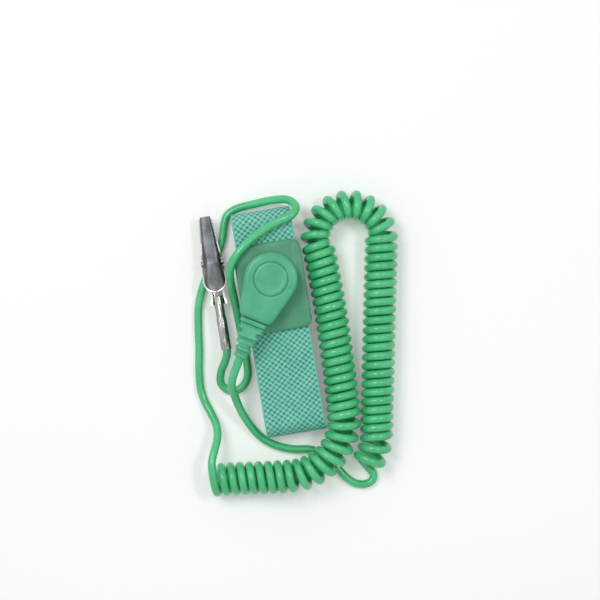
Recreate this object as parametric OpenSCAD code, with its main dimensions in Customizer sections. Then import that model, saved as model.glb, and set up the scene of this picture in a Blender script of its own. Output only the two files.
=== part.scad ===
// ESD wrist strap: an elastic wristband with a snap clasp, a curly ground cord and a sprung clip.
// Sizes are in millimetres. Z is up from the table and Y runs along the flattened wristband.

/* [Wristband] */
// Width of the elastic band
band_w = 19.6; // [16:0.2:22]
// Thickness of the elastic band
band_t = 1.6; // [1.2:0.1:2.2]
// Length of the flattened loop
loop_l = 74; // [68:1:90]
// Clear height inside the loop
loop_gap = 7; // [6.5:0.5:12]

/* [Clasp] */
// Length of the clasp along the band
clasp_l = 29; // [27:0.5:34]
// Side wall of the clasp beside the band
clasp_wall = 0.9; // [0.7:0.1:1.5]
// Floor of the clasp under the band
clasp_floor = 1.05; // [0.8:0.05:1.6]
// Thickness of the clasp cover
cover_t = 1.5; // [1.2:0.1:2.5]
// Plan radius of the clasp corners
clasp_corner = 3; // [1.5:0.5:5]
// Middle of the clasp along the loop
clasp_y = 11.5; // [9:0.5:14]
// Length of each band end held in the clasp
band_grip = 6; // [4:0.5:7]
// Thickness of the skin contact plate
contact_t = 0.4; // [0.3:0.1:0.8]
// Border of the clasp floor left round the contact plate
contact_border = 1.6; // [1:0.2:3]

/* [Snap stud] */
// Place of the stud along the loop
stud_y = 14; // [12:0.5:16]
// Diameter of the stud at its bulb
stud_d = 4.2; // [4:0.1:4.6]
// Diameter of the stud at its neck
neck_d = 3.6; // [3.4:0.1:3.8]
// Height of the stud above the cover
stud_h = 3.4; // [3.2:0.1:4]
// Diameter of the stud flange
flange_d = 7; // [6:0.2:8]
// Thickness of the stud flange
flange_t = 0.6; // [0.4:0.1:0.8]
// Diameter of the rivet shank
rivet_d = 2.4; // [1.8:0.1:2.6]
// Diameter of the rivet head
rivet_head_d = 5; // [4:0.5:7]
// Thickness of the rivet head
rivet_head_t = 0.5; // [0.3:0.1:0.6]

/* [Snap head] */
// Diameter of the round head
head_d = 17.2; // [15:0.2:20]
// Height of the head
head_h = 6.5; // [6:0.1:9]
// Edge rounding of the head
head_round = 1.4; // [0.8:0.1:2]
// Distance from the stud axis to the strain relief
head_reach = 14.5; // [13.5:0.5:18]
// Width of the head where it meets the strain relief
throat_w = 12; // [9:0.2:13]
// Direction of the strain relief, clockwise from the end of the loop
head_turn = 31; // [20:1:40]
// Outer diameter of the metal socket
socket_d = 8.4; // [8:0.2:9]
// Height of the metal socket
socket_h = 3.7; // [3.5:0.1:4.2]
// Wire of the socket's spring ring
ring_wire = 0.6; // [0.4:0.05:0.7]
// Diameter of the round cap
cap_d = 10.8; // [9.6:0.2:12]
// Thickness of the round cap
cap_t = 1.3; // [1:0.1:1.6]
// Length of the strain relief
boot_l = 12.5; // [10:0.5:18]
// Width of the first rib of the strain relief
boot_w = 9; // [7:0.2:10]
// Width of the last rib of the strain relief
boot_tip_w = 4.6; // [4:0.2:6]
// Height of the strain relief ribs
boot_h = 6.4; // [5.6:0.2:6.6]
// Number of ribs on the strain relief
boot_ribs = 5; // [3:1:7]
// Diameter of the safety resistor
resistor_d = 1.8; // [1.4:0.1:2.4]
// Length of the safety resistor
resistor_l = 3.6; // [3:0.2:4]

/* [Cord] */
// Diameter of the cord
cord_d = 2.45; // [2:0.05:2.5]
// Diameter of the bare wire core
core_d = 0.8; // [0.5:0.1:1.2]
// Radius of the curls at the middle of the cord
curl_r = 4.17; // [3.8:0.01:4.2]
// Advance of one curl where the cord lies straight
curl_pitch = 2.92; // [2.9:0.01:3]
// Lift of the curls where a lead passes under them
hump = 2.8; // [2.8:0.1:4]
// Side step of every other curl inside a bend
bend_stagger = 1.2; // [1.2:0.1:1.4]

/* [Clip] */
// Place of the clip beside the band
clip_x = -18.2; // [-19:0.1:-18]
// Place of the clip pivot along the band
clip_y = 22.5; // [21.5:0.5:23.5]
// Height of the clip above the table
clip_z = 2.75; // [2.75:0.05:3.2]
// Length of the jaws ahead of the pivot
jaw_l = 15.3; // [13:0.1:17]
// Width of the jaws at the tip
tip_w = 3.3; // [3:0.1:4]
// Width of the upper jaw at the pivot
jaw_w = 6.2; // [6:0.1:6.6]
// Width of the lever at its round end
lever_w = 7; // [6.6:0.1:7.4]
// Length of the lever behind the pivot
lever_l = 9.2; // [8:0.1:10]
// Upward slope of the lever
lever_slope = 20; // [15:1:22]
// Thickness of the sheet metal
sheet_t = 0.6; // [0.4:0.05:0.7]
// Diameter of the pivot pin
pin_d = 1.4; // [1.1:0.1:1.5]
// Wire of the jaw spring
spring_wire = 0.45; // [0.3:0.05:0.5]
// Radius of the jaw spring at the middle of its wire
spring_r = 1.25; // [1.2:0.05:1.4]
// Length of the tail behind the pivot
tail_l = 12.6; // [11:0.1:14]
// Outer diameter of the cord barrel
barrel_d = 3.3; // [3.2:0.1:3.6]
// Length of the tail and barrel behind the pivot
reach_l = 28.7; // [27:0.1:30]
// Depth of the cord in the barrel
barrel_depth = 7; // [5:0.5:9]
// Number of teeth on each jaw
jaw_teeth = 7; // [4:1:9]

/* [Fits] */
// Clearance of parts that are fitted or turn
slip = 0.05; // [0.03:0.01:0.08]
// Clearance of parts that must not touch
air = 0.3; // [0.2:0.05:0.4]

/* [Hidden] */
$fn = 64;

// Heights of the stacked pieces
band_top = 2 * band_t + loop_gap;
strap_z = band_t + loop_gap;
base_z = strap_z - slip - clasp_floor;
contact_z = base_z - contact_t;
cover_z = band_top + slip;
cover_top = cover_z + cover_t;
head_z = cover_top + air;
head_top = head_z + head_h;

// Clasp plan
pocket_w = band_w + 2 * air;
clasp_w = pocket_w + 2 * clasp_wall;
clasp_ends = [clasp_y - clasp_l / 2, clasp_y + clasp_l / 2];
band_ends = [clasp_ends[0] + band_grip, clasp_ends[1] - band_grip];
cover_edge = 0.5;

// Stud and socket, with heights measured from the top of the cover
bulb_z = flange_t + 1.1;
bulb_h = 0.6;
rivet_bore = rivet_d + 2 * slip;
stud_roof = 0.6;
socket_z = flange_t + slip;
socket_top = socket_z + socket_h;
socket_wall = 0.4;
ring_r = neck_d / 2 + slip + ring_wire / 2;
ring_z = flange_t + 0.55;
groove_h = ring_wire + 2 * slip;

// Head, with lengths measured from the stud axis towards the strain relief
wire_z = cover_top + 3.75;
cap_z = head_top - cap_t + 0.3;
cap_gap = 0.2;
throat_r = throat_w / 2;
throat_drop = 0.5;
boot_end = head_reach + boot_l;
boot_face = 1.2;
lead_depth = 3;
lead_end = boot_end - lead_depth;
bore_end = lead_end - slip;
cavity_w = 3.4;
cavity_h = 2.8;
cavity_end = head_reach - 1;
resistor_x = socket_d / 2 + 1.6;
tab_w = 2;
tab_t = 0.4;
tail_start = resistor_x + resistor_l + 1;
resistor_wire = 0.5;

// Clip, with heights measured from the pivot axis, x towards the jaw tips
pivot_z = clip_z + spring_r + spring_wire / 2 + slip + sheet_t;
floor_in = -(spring_r + spring_wire / 2 + slip);
floor_out = floor_in - sheet_t;
roof_in = (spring_r + spring_wire / 2 + 2 * slip) / cos(lever_slope);
roof_out = roof_in + sheet_t / cos(lever_slope);
lever_r = lever_w / 2;
lever_rise = tan(lever_slope);
bite_gap = 0.1;
ear_w = jaw_w - 2 * sheet_t - 2 * air + 0.1;
ear_r = 1.5;
ear_drop = 1.2;
ear_rise = 1.1;
ear_slope = 1.3;
tip_h = 1.3;
nose_l = 4;
tail_drop = 0.3;
tail_wing = 0.3;
tooth = jaw_l / 2 / jaw_teeth;
barrel_start = lever_l + 1.8;
barrel_neck_l = 4;
barrel_neck_d = barrel_d - 0.3;
barrel_z = floor_in + barrel_neck_d / 2 + slip;
barrel_bore = cord_d + 2 * slip;
spring_pitch = spring_wire + 0.43;
spring_curls = 2;
spring_leg = 5;

// Curls: count, advance of one curl, turn of the run in degrees, lift at the start and end of the run
corner_pitch = 4.112;
top_bend_pitch = 4.452;
low_bend_pitch = 3.735;
row_pitch = curl_pitch + 0.162;
coil_runs = [
  [2.5, corner_pitch, 38, 0, 0],
  [22, curl_pitch, 0, 0, 0],
  [8, top_bend_pitch, 194.35, 0, 0],
  [8, curl_pitch, -4, 0, 0],
  [7, curl_pitch, -2, 0, 0],
  [4, curl_pitch, -2.2, 0, hump],
  [8, low_bend_pitch, -91.3, hump, hump],
  [1, row_pitch, 0, hump, hump],
  [5, row_pitch, 0, hump, 0],
  [2, row_pitch, 0, 0, 0]];
coil_start = [20.47, -50.77];
coil_heading = 41.15;
curl_rings = 8;
curl_sides = 6;
lead_sides = 8;
cord_r = cord_d / 2;
floor_gap = 0.03;
coil_z = curl_r + cord_r + floor_gap;
lie_z = cord_r + floor_gap;

// Points that the lead to the snap head passes, from the curls to the strain relief
snap_route = [
  [22.6, -54.3, lie_z], [22.4, -55.8, lie_z], [21.2, -57, lie_z], [18.8, -57.3, lie_z], [16, -56.4, lie_z],
  [13.6, -54.2, lie_z], [11.6, -51.2, lie_z], [9.6, -48, lie_z], [6.8, -44.9, lie_z], [2.8, -43, lie_z],
  [-1.4, -42.3, lie_z], [-5.4, -41, lie_z], [-9.2, -38.9, lie_z], [-12.6, -35.6, 1.8], [-15.2, -31, 3.4],
  [-17, -26, 6], [-17.9, -21, 9.2], [-17.9, -16.6, 12.6]];

// Points that the lead to the clip passes, from the curls to the barrel
clip_route = [
  [-28.7, -41.2, 9.2], [-27.2, -37.6, 8], [-25.8, -34, 6.2], [-25.6, -30, 4.2], [-26.8, -26, 2.5],
  [-28.2, -22, 1.5], [-28.9, -17.5, lie_z], [-28.4, -11.5, lie_z], [-27.3, -5, lie_z],
  [-26.4, 2, lie_z], [-25.2, 9, lie_z], [-22.9, 15, lie_z],
  [-19.6, 20.4, lie_z], [-16, 25.6, lie_z], [-13.8, 30, lie_z], [-12.6, 34, lie_z],
  [-10.9, 37.4, lie_z], [-7.2, 39, 1.8], [-1.6, 39.4, 3.2], [4.4, 39.6, 5.2], [9.4, 38.8, 7.6],
  [11.7, 36.1, 10.2], [9.9, 33.4, 11.9], [4.6, 31.8, 11.8], [-1, 29.6, 12.3], [-6.2, 26.4, 13.3],
  [-10.3, 22.8, 13.35], [-12.6, 19, 12.2], [-13.15, 14.8, 9], [-13.1, 10.2, 5.4], [-13, 5.4, 2.6],
  [-12.8, 0, 1.35], [-12.6, -6, lie_z], [-12.5, -12, lie_z], [-13.1, -16.4, lie_z], [-15.8, -19.6, lie_z],
  [-19.6, -19.8, 1.4], [-22, -16.8, 2.2], [-21.2, -13, 3.2], [-19.4, -10, 4.2]];

// Colours
green_cord = [0.08, 0.62, 0.30];
green_head = [0.16, 0.60, 0.42];
green_clasp = [0.20, 0.52, 0.38];
green_band = [0.20, 0.66, 0.54];
nickel = [0.72, 0.72, 0.70];
copper = [0.78, 0.5, 0.3];

function unit(v) = v / norm(v);
function vec3(p, z) = [p.x, p.y, z];
function ease(t) = t * t * (3 - 2 * t);

// Plan position and heading along the runs of the coil
function run_length(i) = coil_runs[i][0] * coil_runs[i][1];
function run_heading(i) = i == 0 ? coil_heading : run_heading(i - 1) + coil_runs[i - 1][2];
function arc_step(h, len, turn) = turn == 0
  ? len * [cos(h), sin(h)]
  : len * 180 / (PI * turn) * [sin(h + turn) - sin(h), cos(h) - cos(h + turn)];
function run_start(i) = i == 0
  ? coil_start
  : run_start(i - 1) + arc_step(run_heading(i - 1), run_length(i - 1), coil_runs[i - 1][2]);

// One station of the helix: centre, outward direction and tangent
function curl_station(i, j, start, heading) =
  let (run = coil_runs[i],
       t = j / (run[0] * curl_rings),
       h = heading + run[2] * t,
       left = [-sin(h), cos(h), 0],
       phase = 180 + 360 * (j / curl_rings - run[0]),
       out = left * sin(phase) - [0, 0, cos(phase)],
       inner = max(0, sign(run[2]) * sin(phase)) * (abs(run[2]) > 45 ? 1 : 0),
       side = floor(phase / 360) % 2 == 0 ? bend_stagger : -bend_stagger,
       axis = start + arc_step(heading, run_length(i) * t, run[2] * t),
       z = coil_z + run[3] + (run[4] - run[3]) * ease(t) + side * inner,
       tangent = 2 * PI * curl_r * (left * cos(phase) + [0, 0, sin(phase)]) + run[1] * [cos(h), sin(h), 0])
  [vec3(axis, z) + curl_r * out, out, unit(tangent)];
function coil_stations() =
  let (last = len(coil_runs) - 1)
  [for (i = [0:last])
    let (start = run_start(i), heading = run_heading(i), steps = coil_runs[i][0] * curl_rings)
    for (j = [0:i == last ? steps : steps - 1]) curl_station(i, j, start, heading)];
function moved(station, d) = [station[0] + d * station[2], station[1], station[2]];

// The curls with a straight end of one cord diameter on each side
stations = coil_stations();
coil_first = moved(stations[0], -cord_d);
coil_last = moved(stations[len(stations) - 1], cord_d);
coil_path = concat([coil_first], stations, [coil_last]);

// Smallest distance from a station to those at least half a curl further on
function least_gap(path, from, wire) =
  min([for (i = [0:len(path) - from - 1])
    min([for (k = [i + from:len(path) - 1]) norm(path[k][0] - path[i][0])])]) - wire;

// A tube through stations of centre, outward direction and tangent
function tube_ring(s, r, sides) =
  let (across = cross(s[2], s[1]))
  [for (k = [0:sides - 1]) s[0] + r * (cos(360 * k / sides) * s[1] + sin(360 * k / sides) * across)];
module tube(path, r, sides) {
  last = (len(path) - 1) * sides;
  points = [for (s = path) each tube_ring(s, r, sides)];
  wall = [for (i = [0:len(path) - 2], k = [0:sides - 1])
    let (a = i * sides + k, b = i * sides + (k + 1) % sides)
    each [[a, b + sides, b], [a, a + sides, b + sides]]];
  caps = [for (k = [1:sides - 2]) each [[0, k, k + 1], [last, last + k + 1, last + k]]];
  polyhedron(points, concat(wall, caps));
}

// Stations along hand chosen points, starting and ending along given directions
function lead_stations(points, first, last) =
  [for (i = [0:len(points) - 1])
    let (t = i == 0 ? first : i == len(points) - 1 ? last : unit(points[i + 1] - points[i - 1]))
    [points[i], unit(cross([0, 0, 1], t)), t]];

// A rounded rectangle in plan, round the origin
module plate(w, l, h, r) {
  linear_extrude(h) {
    square([w - 2 * r, l], center = true);
    square([w, l - 2 * r], center = true);
    for (x = [-1, 1], y = [-1, 1]) translate([x * (w / 2 - r), y * (l / 2 - r)]) circle(r);
  }
}

// A flat loop outline with round ends
module stadium(l, h) {
  square([l - h, h], center = true);
  for (y = [-1, 1]) translate([y * (l - h) / 2, 0]) circle(h / 2);
}

// Placing in the frame of the stud, of the head and of the clip
module at_stud(z) { translate([0, stud_y, z]) children(); }
module at_head() { translate([0, stud_y, wire_z]) rotate(-90 - head_turn) children(); }
module at_clip() { translate([clip_x, clip_y, pivot_z]) rotate(90) children(); }
module lengthwise(x) { translate([x, 0, 0]) rotate([0, 90, 0]) children(); }
function on_head(x) = [-x * sin(head_turn), stud_y - x * cos(head_turn), wire_z];
head_dir = unit(on_head(1) - on_head(0));

module elastic_band() {
  color(green_band) difference() {
    translate([0, 0, band_top / 2]) rotate([90, 0, 90]) linear_extrude(band_w, center = true) difference() {
      stadium(loop_l, band_top);
      stadium(loop_l - 2 * band_t, loop_gap);
    }
    translate([-band_w, band_ends[0], strap_z - air])
      cube([2 * band_w, band_ends[1] - band_ends[0], band_t + 1]);
  }
}

module clasp_base() {
  color(green_clasp) difference() {
    translate([0, clasp_y, base_z]) plate(clasp_w, clasp_l, cover_z - base_z, clasp_corner);
    for (y = [clasp_ends[0] - 1, band_ends[1] - slip]) translate([-pocket_w / 2, y, base_z + clasp_floor])
      cube([pocket_w, band_grip + slip + 1, cover_z]);
    at_stud(base_z - 1) cylinder(d = rivet_bore, h = cover_z);
  }
}

module clasp_cover() {
  color(green_clasp) difference() {
    translate([0, clasp_y, cover_z]) {
      plate(clasp_w, clasp_l, cover_t - cover_edge, clasp_corner);
      plate(clasp_w - 2 * cover_edge, clasp_l - 2 * cover_edge, cover_t, clasp_corner - cover_edge);
    }
    at_stud(cover_z - 1) cylinder(d = rivet_bore, h = cover_t + 2);
  }
}

module contact_plate() {
  color(nickel) difference() {
    translate([0, clasp_y, contact_z])
      plate(clasp_w - 2 * contact_border, clasp_l - 2 * contact_border, contact_t, clasp_corner - 1);
    at_stud(contact_z - 1) cylinder(d = rivet_bore, h = contact_t + 2);
  }
}

module stud_rivet() {
  color(nickel) at_stud(contact_z) {
    translate([0, 0, -rivet_head_t]) cylinder(d = rivet_head_d, h = rivet_head_t);
    cylinder(d = rivet_d, h = cover_top + stud_h - stud_roof - slip - contact_z);
  }
}

module snap_stud() {
  color(nickel) at_stud(cover_top) rotate_extrude() polygon([
    [rivet_bore / 2, 0], [flange_d / 2, 0], [flange_d / 2, flange_t], [neck_d / 2, flange_t],
    [neck_d / 2, bulb_z], [stud_d / 2, bulb_z + 0.4], [stud_d / 2, bulb_z + 0.4 + bulb_h],
    [stud_d / 2 - 0.7, stud_h], [0, stud_h], [0, stud_h - stud_roof], [rivet_bore / 2, stud_h - stud_roof]]);
}

module socket_spring() {
  color(nickel) at_stud(cover_top + ring_z) rotate_extrude() translate([ring_r, 0]) circle(d = ring_wire);
}

module snap_socket() {
  bore = stud_d / 2 + 2 * slip;
  groove = ring_r + ring_wire / 2 + slip;
  color(nickel) at_stud(cover_top) rotate_extrude() polygon([
    [bore, socket_z], [socket_d / 2, socket_z], [socket_d / 2, socket_top], [0, socket_top],
    [0, socket_top - socket_wall], [bore, socket_top - socket_wall], [bore, ring_z + groove_h / 2],
    [groove, ring_z + groove_h / 2], [groove, ring_z - groove_h / 2], [bore, ring_z - groove_h / 2]]);
}

// A disc with rounded edges
module puck(d, h, r) {
  rotate_extrude($fn = 48) intersection() {
    square([d / 2, h]);
    union() {
      square([d / 2 - r, h]);
      translate([0, r]) square([d / 2, h - 2 * r]);
      for (z = [r, h - r]) translate([d / 2 - r, z]) circle(r, $fn = 24);
    }
  }
}

module head_housing() {
  color(green_head) difference() {
    translate([0, stud_y, head_z]) rotate(-90 - head_turn) hull() {
      puck(head_d, head_h, head_round);
      for (y = [-1, 1]) translate([head_reach - throat_r / 2, y * throat_r / 2, 0])
        puck(throat_r, head_h - throat_drop, head_round);
    }
    at_head() translate([head_reach, -head_d / 2, -head_h]) cube([head_d, head_d, 2 * head_h]);
    at_stud(head_z - 1) cylinder(d = socket_d + 2 * slip, h = cover_top + socket_top + slip - head_z + 1);
    at_stud(head_z) cylinder(d = socket_d - 1.6, h = head_h + 1);
    at_stud(cap_z) cylinder(d = cap_d + 2 * cap_gap, h = cap_t);
    at_head() translate([0, -cavity_w / 2, -cavity_h / 2]) cube([cavity_end, cavity_w, cavity_h]);
    at_head() lengthwise(0) cylinder(d = core_d + 2 * air, h = head_d);
  }
}

module head_cap() {
  color(green_head) at_stud(cap_z) {
    cylinder(d = cap_d, h = cap_t - 0.3);
    cylinder(d = cap_d - 0.6, h = cap_t);
  }
}

// Lug lying on the socket and reaching out to the resistor
module solder_tab() {
  color(nickel) at_head() {
    lug_z = cover_top + socket_top - wire_z;
    translate([0, -tab_w / 2, lug_z]) cube([resistor_x - 0.6, tab_w, tab_t]);
    translate([resistor_x - 0.6 - tab_t, -tab_w / 2, resistor_wire / 2])
      cube([tab_t, tab_w, lug_z + tab_t - resistor_wire / 2]);
  }
}

module safety_resistor() {
  color([0.45, 0.62, 0.72]) at_head() lengthwise(resistor_x) {
    cylinder(d = resistor_d - 0.3, h = resistor_l);
    for (x = [0, resistor_l - 0.9]) translate([0, 0, x]) cylinder(d = resistor_d, h = 0.9);
  }
}

module resistor_leads() {
  color(nickel) at_head() {
    lengthwise(resistor_x - 1.2) cylinder(d = resistor_wire, h = 1.2);
    lengthwise(resistor_x + resistor_l) cylinder(d = resistor_wire, h = 1);
  }
}

module wire_tail() {
  color(copper) at_head() lengthwise(tail_start)
    cylinder(d = core_d, h = lead_end - slip - tail_start);
}

module strain_relief() {
  rib_step = (boot_l - boot_face) / boot_ribs;
  color(green_head) at_head() difference() {
    intersection() {
      union() {
        lengthwise(head_reach) cylinder(d = boot_w, h = boot_face);
        lengthwise(head_reach) cylinder(d1 = boot_w - 1.6, d2 = boot_tip_w - 0.8, h = boot_l);
        for (k = [1:boot_ribs]) lengthwise(head_reach + boot_face + (k - 0.55) * rib_step)
          cylinder(d = boot_w + (boot_tip_w - boot_w) * k / boot_ribs, h = 0.55 * rib_step);
      }
      translate([0, -boot_w, -(wire_z - head_z)]) cube([boot_end, 2 * boot_w, boot_h]);
    }
    lengthwise(head_reach - 1) cylinder(d = core_d + 2 * air, h = boot_l);
    lengthwise(bore_end) cylinder(d = cord_d + 2 * slip, h = lead_depth + 1);
  }
}

module snap_lead() {
  points = concat([coil_first[0]], snap_route, [on_head(boot_end + 1), on_head(lead_end)]);
  color(green_cord) tube(lead_stations(points, -coil_first[2], -head_dir), cord_r, lead_sides);
}

module coil_cord() {
  echo(coil_least_gap = least_gap(coil_path, curl_rings / 2 + 1, cord_d));
  echo(curls = (len(stations) - 1) / curl_rings);
  color(green_cord) tube(coil_path, cord_r, curl_sides);
}

module clip_lead() {
  mouth = [clip_x, clip_y - reach_l, pivot_z + barrel_z];
  points = concat([coil_last[0]], clip_route, [mouth - [0, 0.5, 0], mouth + [0, barrel_depth - slip, 0]]);
  color(green_cord) tube(lead_stations(points, coil_last[2], [0, 1, 0]), cord_r, lead_sides);
}

// Plan outlines of the jaws, from half widths along the clip
module mirrored(half) { polygon(concat(half, [for (i = [len(half) - 1:-1:0]) [half[i].x, -half[i].y]])); }
module upright(profile, w) { rotate([90, 0, 0]) linear_extrude(2 * w, center = true) polygon(profile); }
module flat(h) { translate([0, 0, -h]) linear_extrude(2 * h) children(); }

module upper_plan(inset) {
  mirrored([[jaw_l - inset, tip_w / 2 - inset], [0, jaw_w / 2 - inset],
    [lever_r - lever_l, lever_r - inset]]);
  translate([lever_r - lever_l, 0]) circle(lever_r - inset);
}

module lower_plan(inset) {
  mirrored([[jaw_l - inset, tip_w / 2 - inset], [0, ear_w / 2 - inset], [2 - tail_l, ear_w / 2 - inset],
    [0.6 - tail_l, ear_w / 2 + tail_wing - inset], [-tail_l, ear_w / 2 + tail_wing - inset]]);
}

// A row of notches along the biting edge
module tooth_row(z) {
  for (k = [0.5:jaw_teeth]) translate([jaw_l - sheet_t - (k + 0.2) * tooth, 0, z]) rotate([0, 45, 0])
    cube([tooth * 0.5, jaw_w, tooth * 0.5], center = true);
}

module pin_bore() { rotate([90, 0, 0]) cylinder(d = pin_d + 2 * slip, h = 2 * jaw_w, center = true); }

module upper_jaw() {
  back = lever_l + 1;
  skirt_end = lever_l - 1;
  color(nickel) at_clip() difference() {
    intersection() {
      flat(2 * jaw_l) upper_plan(0);
      upright([[jaw_l, bite_gap], [jaw_l, tip_h], [0, roof_out], [-back, roof_out + back * lever_rise],
        [-back, roof_in + back * lever_rise], [-skirt_end, roof_in + skirt_end * lever_rise],
        [-2 * ear_r - 0.4, ear_r / 3], [-ear_r, -ear_drop], [ear_r, -ear_drop],
        [2 * ear_r, bite_gap]], jaw_l);
    }
    intersection() {
      flat(2 * jaw_l) upper_plan(sheet_t);
      upright([[jaw_l, -jaw_l], [jaw_l, tip_h - sheet_t], [0, roof_in],
        [-back, roof_in + back * lever_rise], [-back, -jaw_l]], jaw_l);
    }
    pin_bore();
    tooth_row(bite_gap);
  }
}

module lower_jaw() {
  color(nickel) at_clip() difference() {
    intersection() {
      flat(2 * jaw_l) lower_plan(0);
      upright([[jaw_l, 0], [jaw_l, bite_gap - ear_drop], [jaw_l - nose_l, floor_out], [-tail_l, floor_out],
        [-tail_l, -tail_drop], [-ear_r - ear_slope, -tail_drop], [-ear_r, ear_rise], [ear_r, ear_rise],
        [ear_r + ear_slope, 0]], jaw_l);
    }
    intersection() {
      flat(2 * jaw_l) lower_plan(sheet_t);
      upright([[jaw_l, jaw_l], [jaw_l, bite_gap - ear_drop + sheet_t], [jaw_l - nose_l, floor_in],
        [-tail_l - 1, floor_in], [-tail_l - 1, jaw_l]], jaw_l);
    }
    translate([-tail_l - 1, sheet_t - ear_w / 2, floor_in]) cube([3, ear_w - 2 * sheet_t, jaw_l]);
    pin_bore();
    tooth_row(0);
  }
}

module pivot_pin() {
  head_at = jaw_w / 2 + air;
  color(nickel) at_clip() rotate([90, 0, 0]) {
    cylinder(d = pin_d, h = 2 * head_at, center = true);
    for (z = [-head_at - 0.4, head_at]) translate([0, 0, z]) cylinder(d = pin_d + 0.8, h = 0.4);
  }
}

// One station of the jaw spring, turning round the pivot from its lower leg
function spring_station(j) =
  let (a = 270 + 360 * j / curl_rings,
       y = spring_pitch * (j / curl_rings - (spring_curls + 0.5) / 2),
       out = [cos(a), 0, sin(a)])
  [spring_r * out + [0, y, 0], out, unit(2 * PI * spring_r * [-sin(a), 0, cos(a)] + [0, spring_pitch, 0])];

module jaw_spring() {
  last_ring = curl_rings * (spring_curls + 0.5 - lever_slope / 360);
  curls = [for (j = [0:last_ring]) spring_station(j)];
  final = spring_station(last_ring);
  first_leg = [curls[0][0] - [spring_leg, 0, 0], curls[0][1], [1, 0, 0]];
  last_leg = [final[0] + spring_leg * [-cos(lever_slope), 0, sin(lever_slope)], final[1], final[2]];
  path = concat([first_leg], curls, [final, last_leg]);
  echo(spring_least_gap = least_gap(concat(curls, [final]), curl_rings / 2 + 1, spring_wire));
  color(nickel) at_clip() tube(path, spring_wire / 2, curl_sides);
}

module clip_barrel() {
  color(nickel) at_clip() translate([0, 0, barrel_z]) difference() {
    union() {
      lengthwise(-barrel_start - barrel_neck_l) cylinder(d = barrel_neck_d, h = barrel_neck_l);
      lengthwise(-reach_l) cylinder(d = barrel_d, h = reach_l - barrel_start - barrel_neck_l);
    }
    lengthwise(-reach_l - 1) cylinder(d = barrel_bore, h = barrel_depth + 1);
    lengthwise(-reach_l) cylinder(d = core_d + 2 * slip, h = reach_l - barrel_start - 2);
  }
}

module barrel_wire() {
  color(copper) at_clip() translate([0, 0, barrel_z])
    lengthwise(-reach_l + barrel_depth) cylinder(d = core_d, h = reach_l - barrel_depth - barrel_start - 2.5);
}

elastic_band();
clasp_base();
clasp_cover();
contact_plate();
stud_rivet();
snap_stud();
socket_spring();
snap_socket();
head_housing();
head_cap();
solder_tab();
safety_resistor();
resistor_leads();
wire_tail();
strain_relief();
snap_lead();
coil_cord();
clip_lead();
lower_jaw();
upper_jaw();
pivot_pin();
jaw_spring();
clip_barrel();
barrel_wire();
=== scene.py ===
# Looks of an ESD wrist strap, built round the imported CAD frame. Points are in millimetres until add_mesh.
import math

import bmesh
import bpy
import numpy as np
from mathutils import Matrix


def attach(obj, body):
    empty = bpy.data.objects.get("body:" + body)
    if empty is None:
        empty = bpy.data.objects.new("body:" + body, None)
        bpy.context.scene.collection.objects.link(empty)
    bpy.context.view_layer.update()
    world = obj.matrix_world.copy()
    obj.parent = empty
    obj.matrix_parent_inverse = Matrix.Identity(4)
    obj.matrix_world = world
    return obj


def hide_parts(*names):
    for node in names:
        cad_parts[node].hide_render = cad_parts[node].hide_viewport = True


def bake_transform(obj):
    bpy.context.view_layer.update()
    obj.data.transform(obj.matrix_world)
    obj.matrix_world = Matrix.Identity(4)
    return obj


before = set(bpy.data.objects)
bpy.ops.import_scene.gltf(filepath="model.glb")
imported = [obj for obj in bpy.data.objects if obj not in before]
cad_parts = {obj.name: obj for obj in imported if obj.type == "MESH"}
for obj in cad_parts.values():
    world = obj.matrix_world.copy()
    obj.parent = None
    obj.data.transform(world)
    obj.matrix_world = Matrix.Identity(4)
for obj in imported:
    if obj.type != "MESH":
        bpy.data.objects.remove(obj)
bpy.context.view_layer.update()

MM = 0.001
TURN = 2 * math.pi
BLACK = (0, 0, 0, 1)
WHITE = (1, 1, 1, 1)

# Sizes repeated from the part's source
BAND_W = 19.6
BAND_T = 1.6
LOOP_L = 74.0
BAND_TOP = 10.2
BAND_ENDS = (3.0, 20.0)
CLASP_W = 22.0
CLASP_L = 29.0
CLASP_Y = 11.5
CLASP_CORNER = 3.0
COVER_Z = 10.25
COVER_T = 1.5
STUD_Y = 14.0
HEAD_Z = 12.05
HEAD_H = 6.5
HEAD_D = 17.2
HEAD_ROUND = 1.4
HEAD_REACH = 14.5
HEAD_TURN = 31.0
THROAT_W = 12.0
THROAT_DROP = 0.5
CAP_D = 10.8
SOCKET_D = 8.4
WIRE_Z = 15.5
BOOT_L = 12.5
BOOT_W = 9.0
BOOT_TIP_W = 4.6
BOOT_H = 6.4
BOOT_RIBS = 5
BOOT_FACE = 1.2
CORD_D = 2.45
CURL_R = 4.17
CURL_PITCH = 2.92
HUMP = 2.8
COIL_Z = 5.425
LIE_Z = 1.255
CLIP_X = -18.2
CLIP_Y = 22.5
PIVOT_Z = 4.875
JAW_L = 15.3
TIP_W = 3.3
JAW_W = 6.2
LEVER_W = 7.0
LEVER_L = 9.2
LEVER_SLOPE = math.radians(20)
SHEET_T = 0.6
BARREL_D = 3.3
BARREL_START = 11.0
BARREL_Z = 0.025
REACH_L = 28.7
BARREL_DEPTH = 7.0
SPRING_R = 1.25
SPRING_WIRE = 0.45
SPRING_PITCH = 0.88

# Sizes of the scene's own: a fuller jacket, a longer tail on the lower jaw and a longer neck on the barrel
JACKET_R = 1.35
JAW_TAIL_L = 13.7
NECK_L = 7.2


def unit(v):
    v = np.asarray(v, float)
    return v / np.linalg.norm(v)


def srgb(r, g, b):
    """A colour written as 0 to 255 on screen, as linear light."""
    made = []
    for c in (r, g, b):
        c = c / 255
        made.append(c / 12.92 if c <= 0.04045 else ((c + 0.055) / 1.055) ** 2.4)
    return (*made, 1.0)


def add_object(name, data):
    obj = bpy.data.objects.new(name, data)
    bpy.context.scene.collection.objects.link(obj)
    return obj


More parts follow.
